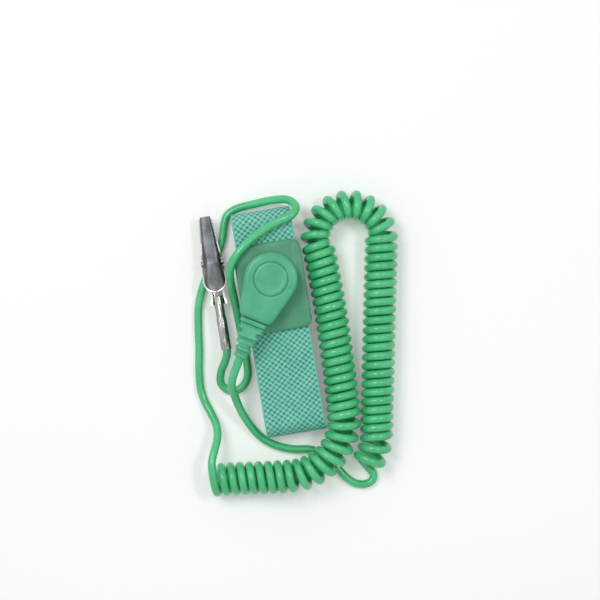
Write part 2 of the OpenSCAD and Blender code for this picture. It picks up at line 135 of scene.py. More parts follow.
def placed(right, up, back, place):
    """World matrix of a camera or lamp at a place, which looks the opposite way of back."""
    rows = [[right[k], up[k], back[k], place[k]] for k in range(3)]
    return Matrix(rows + [[0, 0, 0, 1]])


# Camera, looking straight down as the photograph does, turned against the band
CAMERA_AIM = np.array([8.1, 5.9, 6.0])
CAMERA_UP = np.array([0.16333, 0.98657, 0.0])
CAMERA_FAR = 544.0


def make_camera():
    back = np.array([0.0, 0.0, 1.0])
    up = unit(CAMERA_UP)
    right = np.cross(up, back)
    data = bpy.data.cameras.new("camera")
    data.lens = 100
    data.sensor_width = 36
    data.clip_start = 0.01
    data.clip_end = 20
    obj = add_object("camera", data)
    obj.matrix_world = placed(right, up, back, (CAMERA_AIM + CAMERA_FAR * back) * MM)
    bpy.context.scene.camera = obj


make_camera()


# Materials. Nearly all of a noise lies between these two values
NOISE_LOW = 0.3
NOISE_HIGH = 0.7


class Paint:
    """A material with its Principled shader and short ways to add nodes to it."""

    def __init__(self, name, roughness, metallic=0.0, **sockets):
        self.material = bpy.data.materials.new(name)
        self.material.use_nodes = True
        self.tree = self.material.node_tree
        self.shader = self.tree.nodes["Principled BSDF"]
        self.shader.inputs["Roughness"].default_value = roughness
        self.shader.inputs["Metallic"].default_value = metallic
        for socket, value in sockets.items():
            self.shader.inputs[socket.replace("_", " ")].default_value = value
        self.place = self.node("ShaderNodeTexCoord").outputs["Object"]

    def node(self, kind, settings=None, **inputs):
        made = self.tree.nodes.new(kind)
        for key, value in (settings or {}).items():
            setattr(made, key, value)
        for key, value in inputs.items():
            self.put(made.inputs[key.replace("_", " ")], value)
        return made

    def put(self, socket, value):
        if isinstance(value, bpy.types.NodeSocket):
            self.tree.links.new(value, socket)
        else:
            socket.default_value = value

    def noise(self, scale, detail=3.0, stretch=None):
        where = self.place
        if stretch:
            where = self.node("ShaderNodeMapping", Vector=where, Scale=stretch).outputs["Vector"]
        return self.node("ShaderNodeTexNoise", Vector=where, Scale=scale, Detail=detail).outputs["Fac"]

    def math(self, operation, a, b=None):
        made = self.node("ShaderNodeMath", {"operation": operation})
        self.put(made.inputs[0], a)
        if b is not None:
            self.put(made.inputs[1], b)
        return made.outputs[0]

    def add(self, a, b):
        return self.math("ADD", a, b)

    def times(self, a, b):
        return self.math("MULTIPLY", a, b)

    def mean(self, a, b):
        return self.times(self.add(a, b), 0.5)

    def ramp(self, value, *stops):
        made = self.node("ShaderNodeValToRGB", Fac=value)
        points = made.color_ramp.elements
        while len(points) < len(stops):
            points.new(0.5)
        for point, (at, colour) in zip(points, stops):
            point.position = at
            point.color = colour
        return made.outputs["Color"]

    def mask(self, value, low, high):
        """Black up to low, white from high on."""
        return self.ramp(value, (low, BLACK), (high, WHITE))

    def edges(self, low, high):
        """White on the edges that stand out."""
        return self.mask(self.node("ShaderNodeNewGeometry").outputs["Pointiness"], low, high)

    def spread(self, value, low, high):
        made = self.node("ShaderNodeMapRange", Value=value, To_Min=low, To_Max=high)
        made.inputs["From Min"].default_value = NOISE_LOW
        made.inputs["From Max"].default_value = NOISE_HIGH
        return made.outputs["Result"]

    def mix(self, share, a, b):
        """A mix of two colours. The numbers are those of the node's colour sockets."""
        made = self.node("ShaderNodeMix", {"data_type": "RGBA"})
        self.put(made.inputs[0], share)
        self.put(made.inputs[6], a)
        self.put(made.inputs[7], b)
        return made.outputs[2]

    def bump(self, height, strength, depth):
        made = self.node("ShaderNodeBump", Height=height, Strength=strength, Distance=depth * MM)
        self.put(self.shader.inputs["Normal"], made.outputs["Normal"])

    def set(self, socket, value):
        self.put(self.shader.inputs[socket], value)


def moulded(name, dark, light, rough, grain, worn, coat=0.0):
    """Moulded plastic: cloudy colour, fine grain, paler scuffed edges."""
    p = Paint(name, rough[0], IOR=1.48, Coat_Weight=coat, Coat_Roughness=0.2)
    colour = p.ramp(p.noise(170, 5), (NOISE_LOW, dark), (NOISE_HIGH, light))
    scuff = p.times(p.edges(0.52, 0.62), p.noise(900, 4))
    p.set("Base Color", p.mix(p.times(scuff, 0.55), colour, worn))
    p.set("Roughness", p.spread(p.noise(420, 4), *rough))
    p.bump(p.noise(grain, 2), 0.12, 0.05)
    return p.material


def metal(name, dark, light, rough, stretch):
    """Plated or plain sheet metal: streaks along the work, dull patches, paler edges that are partly rubbed
    and partly a painted highlight, and a painted highlight on the lips.
    """
    p = Paint(name, rough[0], 1.0)
    streak = p.noise(900, 4, stretch)
    tone = p.ramp(p.mean(streak, p.noise(260, 1)), (0.36, dark), (0.62, light))
    # Edges that stand out turn pale: partly rubbed plating, partly a painted highlight.
    wear_and_highlight = p.times(p.edges(0.53, 0.64), 0.7)
    # A painted highlight along the sheet's lips, kept on the jaws as a point attribute.
    lip_highlight = p.node("ShaderNodeAttribute", {"attribute_name": "lip_highlight"}).outputs["Fac"]
    p.set("Base Color", p.mix(p.math("MAXIMUM", wear_and_highlight, lip_highlight), tone, srgb(226, 225, 222)))
    p.set("Roughness", p.spread(p.mean(streak, p.noise(1300, 2)), *rough))
    p.bump(streak, 0.012, 0.02)
    return p.material


def jacket(name):
    """Glossy cord jacket: deep green, slightly paler in patches, with a faintly uneven skin."""
    p = Paint(name, 0.3, IOR=1.5, Coat_Weight=0.5, Coat_Roughness=0.07, Subsurface_Weight=0.12,
              Subsurface_Radius=(0.7, 1.0, 0.8), Subsurface_Scale=1.5 * MM)
    deep, pale = srgb(54, 186, 118), srgb(80, 205, 140)
    p.set("Base Color", p.ramp(p.noise(120, 2), (NOISE_LOW, deep), (NOISE_HIGH, pale)))
    p.set("Roughness", p.spread(p.noise(700, 3), 0.24, 0.38))
    p.bump(p.noise(1500, 2), 0.03, 0.03)
    return p.material


# One repeat of the band's weave across and along it
WEAVE_ACROSS = 1.98
WEAVE_ALONG = 1.76


def woven(name):
    """Elastic webbing: pale yarns crossing over dark diamonds, a painted highlight where the yarns cross,
    and plain pale edges.
    """
    p = Paint(name, 0.85, IOR=1.4, Sheen_Weight=0.25, Sheen_Roughness=0.5)
    flat = p.node("ShaderNodeUVMap", {"uv_map": "weave"}).outputs["UV"]
    split = p.node("ShaderNodeSeparateXYZ", Vector=flat)
    across, along = split.outputs["X"], split.outputs["Y"]
    wobble = p.math("SUBTRACT", p.noise(500, 2), 0.5)

    def wave(place, repeat):
        return p.math("COSINE", p.add(p.times(place, TURN / repeat), wobble))

    dots = p.times(wave(across, WEAVE_ACROSS), wave(along, WEAVE_ALONG))
    uneven = p.add(p.times(p.noise(900, 2), 0.5), p.times(p.noise(170, 2), 0.3))
    depth = p.add(p.times(dots, 0.46), p.add(uneven, 0.1))
    # The palest stop is a painted highlight on the yarns where they cross; the others are the weave's own
    # colours.
    weave_with_highlight = p.ramp(
        depth, (0.06, srgb(162, 223, 207)), (0.42, srgb(130, 205, 187)), (0.64, srgb(82, 177, 157)),
        (0.86, srgb(28, 134, 115)))
    yarn = p.mix(p.times(p.noise(2600, 3), 0.35), weave_with_highlight, srgb(104, 190, 172))
    edge = p.mask(p.math("DIVIDE", p.math("ABSOLUTE", across), BAND_W / 2), 0.93, 0.96)
    p.set("Base Color", p.mix(edge, yarn, srgb(122, 202, 182)))
    p.bump(p.math("SUBTRACT", p.noise(3000, 3), p.times(dots, 0.5)), 0.5, 0.12)
    return p.material


def stranded(name):
    """Bare tinsel wire: fine strands laid side by side."""
    p = Paint(name, 0.35, 1.0)
    strand = p.noise(2600, 2, (1.0, 1.0, 0.2))
    p.set("Base Color", p.ramp(strand, (0.35, srgb(150, 92, 58)), (0.65, srgb(214, 150, 108))))
    p.bump(strand, 0.3, 0.05)
    return p.material


def lacquer(name):
    """Lacquered resistor body with a slightly uneven coat."""
    p = Paint(name, 0.35, Coat_Weight=0.5, Coat_Roughness=0.1)
    p.set("Base Color", p.ramp(p.noise(900, 3), (0.35, srgb(112, 150, 168)), (0.65, srgb(146, 186, 200))))
    p.bump(p.noise(1800, 2), 0.1, 0.03)
    return p.material


jacket_paint = jacket("cord_jacket")
band_paint = woven("woven_elastic")
head_paint = moulded(
    "head_plastic", srgb(62, 168, 124), srgb(88, 188, 146), (0.3, 0.42), 2600, srgb(150, 214, 186), 0.15)
clasp_paint = moulded(
    "clasp_plastic", srgb(66, 142, 106), srgb(88, 162, 126), (0.42, 0.55), 3200, srgb(140, 196, 168))
nickel_paint = metal(
    "nickel_plate", srgb(78, 80, 83), srgb(112, 114, 117), (0.3, 0.46), (1.0, 0.12, 1.0))
bright_paint = metal(
    "bright_nickel", srgb(132, 131, 128), srgb(184, 182, 178), (0.2, 0.26), (1.0, 0.03, 1.0))
steel_paint = metal(
    "stainless_steel", srgb(188, 188, 188), srgb(216, 216, 216), (0.22, 0.36), (0.15, 1.0, 1.0))
copper_paint = stranded("tinsel_wire")
resistor_paint = lacquer("resistor_lacquer")


# Meshes. Angles are in degrees: a fold above sharp shows as an edge
def add_mesh(name, points, faces, paint, body, slot, replaced=(), sharp=None):
    """A new piece from points in millimetres, with smooth faces, riding on a body if one is given."""
    mesh = bpy.data.meshes.new(name)
    mesh.from_pydata((np.asarray(points, float) * MM).tolist(), [], faces)
    mesh.validate()
    bm = bmesh.new()
    bm.from_mesh(mesh)
    bmesh.ops.recalc_face_normals(bm, faces=bm.faces)
    bm.to_mesh(mesh)
    bm.free()
    return add_piece(name, mesh, paint, body, replaced, sharp)


def add_piece(name, mesh, paint, body, replaced=(), sharp=None):
    mesh.shade_smooth()
    if sharp:
        mesh.set_sharp_from_angle(angle=math.radians(sharp))
    mesh.materials.clear()
    mesh.materials.append(paint)
    obj = add_object(name, mesh)
    if body:
        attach(obj, body)
    if replaced:
        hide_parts(*replaced)
    return obj


def loft(rings):
    """Points and faces of a closed skin through rings of equal length, with flat ends."""
    n = len(rings[0])
    last = (len(rings) - 1) * n
    faces = [tuple(range(n - 1, -1, -1)), tuple(range(last, last + n))]
    for i in range(len(rings) - 1):
        for k in range(n):
            a, b = i * n + k, i * n + (k + 1) % n
            faces.append((a, b, b + n, a + n))
    return np.concatenate(rings), faces


def round_turn(count):
    """Angles of a full turn in even steps."""
    return np.linspace(0, TURN, count, endpoint=False)


# A direction that no path starts along
ANY_WAY = (0.2, 0.3, 0.93)


def tube_rings(path, r, sides):
    """Rings of a round tube along a path, that don't twist."""
    path = np.asarray(path, float)
    along = np.gradient(path, axis=0)
    along /= np.linalg.norm(along, axis=1)[:, None]
    side = unit(np.cross(along[0], ANY_WAY))
    turn = round_turn(sides)[:, None]
    rings = []
    for p, t in zip(path, along):
        side = unit(side - t * side.dot(t))
        rings.append(p + r * (np.cos(turn) * side + np.sin(turn) * np.cross(t, side)))
    return rings


def smooth_path(points, step):
    """A smooth curve through points, about step apart."""
    points = np.asarray(points, float)
    ends = np.vstack([2 * points[0] - points[1], points, 2 * points[-1] - points[-2]])
    made = []
    for p0, p1, p2, p3 in zip(ends[:-3], ends[1:-2], ends[2:-1], ends[3:]):
        count = max(2, round(np.linalg.norm(p2 - p1) / step))
        t = (np.arange(count) / count)[:, None]
        made.append(0.5 * (2 * p1 + (p2 - p0) * t + (2 * p0 - 5 * p1 + 4 * p2 - p3) * t**2
                           + (3 * p1 - p0 - 3 * p2 + p3) * t**3))
    made.append(points[-1:])
    return np.concatenate(made)


def way_along(points):
    """How far along its path each point lies."""
    return np.concatenate([[0], np.cumsum(np.linalg.norm(np.diff(points, axis=0), axis=1))])


def lathe(profile, segments):
    """Rings of a turned shape from points of radius and height."""
    turn = round_turn(segments)
    return [np.stack([r * np.cos(turn), r * np.sin(turn), np.full(segments, z)], 1) for r, z in profile]


HARD_EDGE = math.radians(35)


def softened(name, node, width, paint, body):
    """A CAD piece again, with its edges rounded off."""
    bm = bmesh.new()
    bm.from_mesh(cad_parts[node].data)
    bmesh.ops.remove_doubles(bm, verts=bm.verts, dist=1e-6)
    bmesh.ops.dissolve_limit(bm, angle_limit=math.radians(1), verts=bm.verts, edges=bm.edges)
    hard = [e for e in bm.edges if len(e.link_faces) == 2 and e.calc_face_angle() > HARD_EDGE]
    bmesh.ops.bevel(bm, geom=hard, offset=width * MM, segments=2, affect="EDGES", clamp_overlap=True)
    mesh = bpy.data.meshes.new(name)
    bm.to_mesh(mesh)
    bm.free()
    add_piece(name, mesh, paint, body, (node,), sharp=40)


# Cord, as runs of curls: count, advance of one curl, turn of the run in degrees, lift at its start and end
TOP_BEND_L = 8 * 4.452
TOP_CURLS = 10
ROW_PITCH = CURL_PITCH + 0.162
COIL_RUNS = [
    (2.5, 4.112, 38, 0, 0),
    (22, CURL_PITCH, 0, 0, 0),
    (TOP_CURLS, TOP_BEND_L / TOP_CURLS, 194.35, 0, 0),
    (8, CURL_PITCH, -4, 0, 0),
    (7, CURL_PITCH, -2, 0, 0),
    (4, CURL_PITCH, -2.2, 0, HUMP),
    (8, 3.735, -91.3, HUMP, HUMP),
    (1, ROW_PITCH, 0, HUMP, HUMP),
    (5, ROW_PITCH, 0, HUMP, 0),
    (2, ROW_PITCH, 0, 0, 0)]
COIL_START = np.array([20.47, -50.77])
COIL_HEADING = 41.15
CURL_STEPS = 24
# A run that turns by less is no bend, and curls side by side need so much of a diameter
LEAST_BEND = 45
CURL_ROOM = 1.04
CORD_SIDES = 16
FLOOR_GAP = 0.02


def arc_step(heading, length, turn):
    """Way in plan along an arc of some length, from its heading and turn in degrees."""
    h, t = math.radians(heading), math.radians(turn)
    if turn == 0:
        return length * np.array([math.cos(h), math.sin(h)])
    return length / t * np.array([math.sin(h + t) - math.sin(h), math.cos(h) - math.cos(h + t)])


def squeeze(count, pitch, turn):
    """How much flatter the curls get inside a bend, so that they only just touch each other."""
    if abs(turn) < LEAST_BEND:
        return 0.0
    one = math.radians(abs(turn)) / count
    return max(0.0, CURL_R - (pitch - CURL_ROOM * CORD_D) / one)


def coil_path():
    """The helix of the curly cord, with a straight end of one cord diameter on each side."""
    start, heading, made, tangents = COIL_START, COIL_HEADING, [], []
    for number, (count, pitch, turn, low, high) in enumerate(COIL_RUNS):
        steps = round(count * CURL_STEPS)
        last = number == len(COIL_RUNS) - 1
        flat = squeeze(count, pitch, turn)
        for j in range(steps + 1 if last else steps):
            t = j / steps
            h = math.radians(heading + turn * t)
            left = np.array([-math.sin(h), math.cos(h), 0])
            phase = math.pi + TURN * (j / CURL_STEPS - count)
            inner = max(0.0, math.copysign(1, turn) * math.sin(phase))
            out = (CURL_R - flat * inner) * math.sin(phase) * left
            axis = start + arc_step(heading, count * pitch * t, turn * t)
            z = COIL_Z + low + (high - low) * t * t * (3 - 2 * t) - CURL_R * math.cos(phase)
            made.append(np.array([axis[0], axis[1], z]) + out)
            along = TURN * CURL_R * (left * math.cos(phase) + np.array([0, 0, math.sin(phase)]))
            tangents.append(unit(along + pitch * np.array([math.cos(h), math.sin(h), 0])))
        start = start + arc_step(heading, count * pitch, turn)
        heading += turn
    first = made[0] - CORD_D * tangents[0]
    final = made[-1] + CORD_D * tangents[-1]
    return first, np.array(made), final


def on_head(x):
    """Point of the head's middle line at a distance from the stud, at the height of its wire."""
    a = math.radians(HEAD_TURN)
    return np.array([-x * math.sin(a), STUD_Y - x * math.cos(a), WIRE_Z])


# Points of the two leads, repeated from the part's source
SNAP_ROUTE = [
    (22.6, -54.3, LIE_Z), (22.4, -55.8, LIE_Z), (21.2, -57, LIE_Z), (18.8, -57.3, LIE_Z),
    (16, -56.4, LIE_Z), (13.6, -54.2, LIE_Z), (11.6, -51.2, LIE_Z), (9.6, -48, LIE_Z),
    (6.8, -44.9, LIE_Z), (2.8, -43, LIE_Z), (-1.4, -42.3, LIE_Z), (-5.4, -41, LIE_Z),
    (-9.2, -38.9, LIE_Z), (-12.6, -35.6, 1.8), (-15.2, -31, 3.4), (-17, -26, 6), (-17.9, -21, 9.2),
    (-17.9, -16.6, 12.6)]
# Points of the route from which it follows the lift of the head, and then its turn
TURN_POINT = 13
CLIP_ROUTE = [
    (-28.7, -41.2, 9.2), (-27.2, -37.6, 8), (-25.8, -34, 6.2), (-25.6, -30, 4.2), (-26.8, -26, 2.5),
    (-28.2, -22, 1.5), (-28.9, -17.5, LIE_Z), (-28.4, -11.5, LIE_Z), (-27.3, -5, LIE_Z),
    (-26.4, 2, LIE_Z), (-25.2, 9, LIE_Z), (-22.9, 15, LIE_Z),
    (-19.6, 20.4, LIE_Z), (-16, 25.6, LIE_Z), (-13.8, 30, LIE_Z), (-12.6, 34, LIE_Z),
    (-10.9, 37.4, LIE_Z), (-7.2, 39, 1.8), (-1.6, 39.4, 3.2), (4.4, 39.6, 5.2), (9.4, 38.8, 7.6),
    (11.7, 36.1, 10.2), (9.9, 33.4, 11.9), (4.6, 31.8, 11.8), (-1, 29.6, 12.3), (-6.2, 26.4, 13.3),
    (-10.3, 22.8, 13.35), (-12.6, 19, 12.2), (-13.15, 14.8, 9), (-13.1, 10.2, 5.4), (-13, 5.4, 2.6),
    (-12.8, 0, 1.35), (-12.6, -6, LIE_Z), (-12.5, -12, LIE_Z), (-13.1, -16.4, LIE_Z), (-15.8, -19.6, LIE_Z),
    (-19.6, -19.8, 1.4), (-22, -16.8, 2.2), (-21.2, -13, 3.2), (-19.4, -10, 4.2)]

coil_first, coil, coil_last = coil_path()
barrel_mouth = np.array([CLIP_X, CLIP_Y - REACH_L, PIVOT_Z + BARREL_Z])
lead_to_clip = smooth_path(
    [coil[-3], coil[-1], coil_last, *CLIP_ROUTE, barrel_mouth - [0, 0.5, 0],
     barrel_mouth + [0, BARREL_DEPTH - 0.05, 0]], step=1.2)
boot_end = HEAD_REACH + BOOT_L
lead_to_snap = smooth_path(
    [coil[2], coil[0], coil_first, *SNAP_ROUTE, on_head(boot_end + 1), on_head(boot_end - 3)], step=1.0)
seam = np.array(SNAP_ROUTE[TURN_POINT], float)


def nearest(path, point):
    """Number of the path's point that lies closest to a point."""
    return int(np.linalg.norm(path - point, axis=1).argmin())


# The whole cord is one skin, cut where the lead to the snap head follows the lift and the turn of the head
snap_part = lead_to_snap[nearest(lead_to_snap, coil[0]):][::-1]
clip_part = lead_to_clip[nearest(lead_to_clip, coil[-1]):]
cord_path = np.concatenate([snap_part, coil[1:-1], clip_part])
cord_path[:, 2] = np.maximum(cord_path[:, 2], JACKET_R + FLOOR_GAP)
cord_rings = tube_rings(cord_path, JACKET_R, CORD_SIDES)
cut = nearest(cord_path[:len(snap_part)], seam)
ground = nearest(cord_path[:len(snap_part)], coil_first)

snap_lead_top = add_mesh(
    "snap_lead_top", *loft(cord_rings[:cut + 1]), jacket_paint, None, "cord", ("snap_lead",), sharp=60)
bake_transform(snap_lead_top)
snap_lead_low = add_mesh(
    "snap_lead_low", *loft(cord_rings[cut:ground + 1]), jacket_paint, None, "cord", ("snap_lead",),
    sharp=60)
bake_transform(snap_lead_low)
ground_cord = add_mesh(
    "ground_cord", *loft(cord_rings[ground:]), jacket_paint, "wristband", "cord",
    ("coil_cord", "clip_lead"), sharp=60)


# Band: a flattened loop whose two ends go into the clasp
def band_line(step):
    """Points along the middle of the band's thickness, with the outward direction at each."""
    r = (BAND_TOP - BAND_T) / 2
    flat = (LOOP_L - BAND_TOP) / 2
    mid = BAND_TOP / 2
    runs = [
        ("line", BAND_ENDS[0], -flat, 1), ("arc", -flat, 90, 270),
        ("line", -flat, flat, -1), ("arc", flat, 270, 450),
        ("line", flat, BAND_ENDS[1], 1)]
    made = []
    for kind, a, b, c in runs:
        length = abs(b - a) if kind == "line" else math.pi * r
        for t in np.linspace(0, 1, max(2, round(length / step)), endpoint=False):
            if kind == "line":
                made.append((a + (b - a) * t, mid + c * r, 0.0, float(c)))
            else:
                turn = math.radians(b + (c - b) * t)
                cos, sin = math.cos(turn), math.sin(turn)
                made.append((a + r * cos, mid + r * sin, cos, sin))
    made.append((BAND_ENDS[1], mid + r, 0.0, 1.0))
    return np.array(made)


# Height of the yarns, and half the width of one in shares of their distance
YARN_DEPTH = 0.17
YARN_HALF = 0.4


def yarn_height(across, along):
    """Height, from 0 to 1, of two sets of slanting yarns that pass over and under each other."""
    a, b = TURN * across / WEAVE_ACROSS, TURN * along / WEAVE_ALONG
    over = 0.5 * (np.cos(b) - np.cos(a))
    made = []
    for phase, way in ((a + b, 1), (a - b, -1)):
        off = np.abs((phase / TURN) % 1 - 0.5)
        made.append(np.sqrt(np.clip(1 - (off / YARN_HALF) ** 2, 0, 1)) * (0.7 + 0.3 * way * over))
    return np.maximum(*made)


# Where the band's rounded edge begins, and its points as inset and share of half the thickness
EDGE_ROUND = 0.35
EDGE_POINTS = [(0.14, 0.8), (0.02, 0.45), (0.0, 0.0), (0.02, -0.45), (0.14, -0.8)]
# Width of the plain edge beside the yarns, and its depth below their tops
PLAIN_EDGE = 0.7
PLAIN_DEPTH = 0.04


def make_band():
    line = band_line(0.22)
    along = way_along(line[:, :2])
    half, thick = BAND_W / 2, BAND_T / 2
    outer = np.linspace(-half + EDGE_ROUND, half - EDGE_ROUND, 80)
    inner = np.linspace(half - EDGE_ROUND, -half + EDGE_ROUND, 16)
    inset, rise = np.array(EDGE_POINTS).T
    x = np.concatenate([outer, half - inset, inner, inset - half])
    lift = np.concatenate([np.ones(len(outer)), rise, -np.ones(len(inner)), -rise])
    sunk = YARN_DEPTH * (yarn_height(x[None, :], along[:, None]) - 1)
    relief = np.where(np.abs(x) < half - PLAIN_EDGE, sunk, -PLAIN_DEPTH) * (lift == 1)
    out = thick * lift[None, :] * 0.98 + relief
    points = np.zeros((len(line), len(x), 3))
    points[:, :, 0] = x[None, :]
    points[:, :, 1] = line[:, 0:1] + line[:, 2:3] * out
    points[:, :, 2] = line[:, 1:2] + line[:, 3:4] * out
    band = add_mesh(
        "woven_band", *loft(list(points)), band_paint, "wristband", "band", ("elastic_band",), sharp=70)
    place = np.stack([np.tile(x, len(line)), np.repeat(along, len(x))], 1)
    loops = np.zeros(len(band.data.loops), int)
    band.data.loops.foreach_get("vertex_index", loops)
    band.data.uv_layers.new(name="weave").data.foreach_set("uv", place[loops].astype(np.float32).ravel())


make_band()


# Clasp: a rounded cover over the softened base
def rounded_outline(w, l, r, per_corner):
    """Plan of a rectangle with round corners, as even points on the corners."""
    made = []
    for cx, cy, a in ((1, 1, 0), (-1, 1, 90), (-1, -1, 180), (1, -1, 270)):
        for t in np.linspace(0, 90, per_corner):
            turn = math.radians(a + t)
            made.append((cx * (w / 2 - r) + r * math.cos(turn), cy * (l / 2 - r) + r * math.sin(turn)))
    return np.array(made)


def make_cover():
    """The clasp's cover, from levels of inset and height."""
    edge_w, edge_h = 1.3, 0.9
    shoulder = COVER_T - edge_h
    levels = [(0.25, 0.0), (0.0, 0.12), (0.0, shoulder)]
    for a in np.radians(np.linspace(15, 90, 6)):
        levels.append((edge_w * (1 - math.cos(a)), shoulder + edge_h * math.sin(a)))
    levels += [(edge_w + 0.06, COVER_T), (2.2, COVER_T)]
    rings = []
    for inset, z in levels:
        plan = rounded_outline(CLASP_W - 2 * inset, CLASP_L - 2 * inset, CLASP_CORNER - inset, 8)
        rings.append(np.column_stack([plan[:, 0], plan[:, 1] + CLASP_Y, np.full(len(plan), COVER_Z + z)]))
    add_mesh("clasp_top", *loft(rings), clasp_paint, "wristband", "clasp", ("clasp_cover",), sharp=50)


make_cover()
softened("clasp_bottom", "clasp_base", 0.3, clasp_paint, "wristband")


# Snap head: a flat teardrop with a round cap in its top
def at_head(points):
    """Points with x from the stud towards the strain relief, put in the shared frame."""
    a = math.radians(-90 - HEAD_TURN)
    cos, sin = math.cos(a), math.sin(a)
    x, y, z = np.asarray(points, float).T
    return np.column_stack([x * cos - y * sin, STUD_Y + x * sin + y * cos, z])


def head_outline(count):
    """Plan of the head as even points, with the outward direction at each."""
    throat_r = THROAT_W / 4
    circles = [(HEAD_D / 2, 0.0, 0.0)]
    circles += [(throat_r, HEAD_REACH - throat_r, y * throat_r) for y in (-1, 1)]
    edge = []
    for turn in round_turn(720):
        way = np.array([math.cos(turn), math.sin(turn)])
        r, x, y = max(circles, key=lambda c: c[0] + way @ np.array(c[1:]))
        edge.append(np.array([x, y]) + r * way)
    edge = np.array(edge + edge[:1])
    along = way_along(edge)
    at = np.linspace(0, along[-1], count, endpoint=False)
    even = np.stack([np.interp(at, along, edge[:, k]) for k in range(2)], 1)
    ahead = np.roll(even, -1, 0) - np.roll(even, 1, 0)
    out = np.stack([ahead[:, 1], -ahead[:, 0]], 1)
    return even, out / np.linalg.norm(out, axis=1)[:, None]


# Where the head's top begins to drop towards its throat, and the width of the groove round the cap
DROP_START = 3
CAP_GROOVE = 0.2
# Rings of the cap's seat: how far outside the groove's radius, and how deep below the head's top
SEAT_RINGS = [(0.1, 0.08), (0.0, 0.25), (-0.04, 0.34), (-0.17, 0.36), (-0.18, 0.96)]


def make_head():
    plan, out = head_outline(144)
    way = plan / np.linalg.norm(plan, axis=1)[:, None]
    drop = THROAT_DROP * np.clip((plan[:, 0] - DROP_START) / (HEAD_REACH - DROP_START), 0, 1) ** 1.5

    def ring(flat, z):
        return at_head(np.column_stack([flat, HEAD_Z + z]))

    level = np.zeros(len(plan))
    top = HEAD_H - drop
    bore = (SOCKET_D / 2 + 0.06) * way
    brow = plan - HEAD_ROUND * out
    rings = [ring(bore, level + 3.2), ring(bore, level + 0.25), ring(bore * 1.04, level)]
    rings += [ring(bore + (brow - bore) * t, level) for t in (0.4, 0.8)]
    for a in np.radians(np.linspace(0, 90, 6)):
        inset, rise = HEAD_ROUND * (1 - math.sin(a)), HEAD_ROUND * (1 - math.cos(a))
        rings.append(ring(plan - inset * out, level + rise))
    rings.append(ring(plan, top / 2))
    for a in np.radians(np.linspace(0, 90, 8)):
        inset, fall = HEAD_ROUND * (1 - math.cos(a)), HEAD_ROUND * (1 - math.sin(a))
        rings.append(ring(plan - inset * out, top - fall))
    seat_r = CAP_D / 2 + CAP_GROOVE
    lip = (seat_r + 0.3) * way
    rings += [ring(brow + (lip - brow) * t, top + (HEAD_H - top) * t) for t in (0.3, 0.6, 0.85, 1.0)]
    rings += [ring((seat_r + wider) * way, level + HEAD_H - deep) for wider, deep in SEAT_RINGS]
    rings.append(ring(2.0 * way, level + HEAD_H - 0.98))
    add_mesh("snap_housing", *loft(rings), head_paint, "snap_head", "head", ("head_housing",), sharp=50)


make_head()

# Rings of the cap's rim and shallow dish: how far inside its radius, and how deep below its top
CAP_RINGS = [(0.0, 0.5), (0.09, 0.24), (0.26, 0.08), (0.5, 0.0), (1.1, 0.0), (1.35, 0.07), (1.7, 0.1)]


def make_cap():
    r, low, high = CAP_D / 2, HEAD_H - 0.97, HEAD_H + 0.3
    profile = [(r - 0.1, low), (r, low + 0.1)]
    profile += [(r - inset, high - deep) for inset, deep in CAP_RINGS]
    profile += [(2.0, high - 0.06), (0.8, high - 0.04)]
    rings = [at_head(ring + [0, 0, HEAD_Z]) for ring in lathe(profile, 96)]
    add_mesh("round_cap", *loft(rings), head_paint, "snap_head", "head", ("head_cap",), sharp=50)


make_cap()


# Strain relief: flat ribs that get smaller towards the cord, with grooves by turns in the top and the sides
BOOT_SIDES = 48
BOOT_CORE_IN = 0.8
BOOT_BORE = JACKET_R + 0.06
TOP_GROOVE = 1.1
RIB_SHARE = 0.55
# Rounded edge of a rib: way from its face and depth below its top
RIB_EDGE = [(0.0, 0.3), (0.08, 0.09), (0.28, 0.0)]


def boot_core(x):
    """Half width of the strain relief at the bottom of its grooves."""
    tip = BOOT_TIP_W / 2 - 0.5 * BOOT_CORE_IN
    root = BOOT_W / 2 - BOOT_CORE_IN
    return root + (tip - root) * (x - HEAD_REACH) / BOOT_L


def boot_groove(k, x, r):
    """A ring in the groove before rib k, which is cut into the sides or into the top."""
    core = boot_core(x)
    if k % 2 == 0:
        return (x, core - 0.3, r, 0.06)
    return (x, r - 0.15, core, min(TOP_GROOVE, core - BOOT_BORE - 0.2))


def boot_profile():
    """Place, half width, half height and sunk depth of each ring of the strain relief."""
    half = BOOT_W / 2
    face = HEAD_REACH + BOOT_FACE
    step = (BOOT_L - BOOT_FACE) / BOOT_RIBS

    def plain(*pairs):
        return [(x, r, r, 0) for x, r in pairs]

    made = plain((HEAD_REACH, half), (face - 0.2, half), (face - 0.05, half - 0.12), (face, half - 0.35))
    for k in range(1, BOOT_RIBS + 1):
        r = (BOOT_W + (BOOT_TIP_W - BOOT_W) * k / BOOT_RIBS) / 2
        a = face + (k - RIB_SHARE) * step
        b = a + RIB_SHARE * step
        made += [boot_groove(k, a - 0.6, r), boot_groove(k, a, r)]
        made += plain(*((a + way, r - deep) for way, deep in RIB_EDGE))
        made += plain(*((b - way, r - deep) for way, deep in reversed(RIB_EDGE)))
        if k < BOOT_RIBS:
            made.append(boot_groove(k + 1, b, r))
    made += plain((boot_end, BOOT_BORE + 0.25), (boot_end - 0.1, BOOT_BORE), (boot_end - 2.5, BOOT_BORE))
    return made


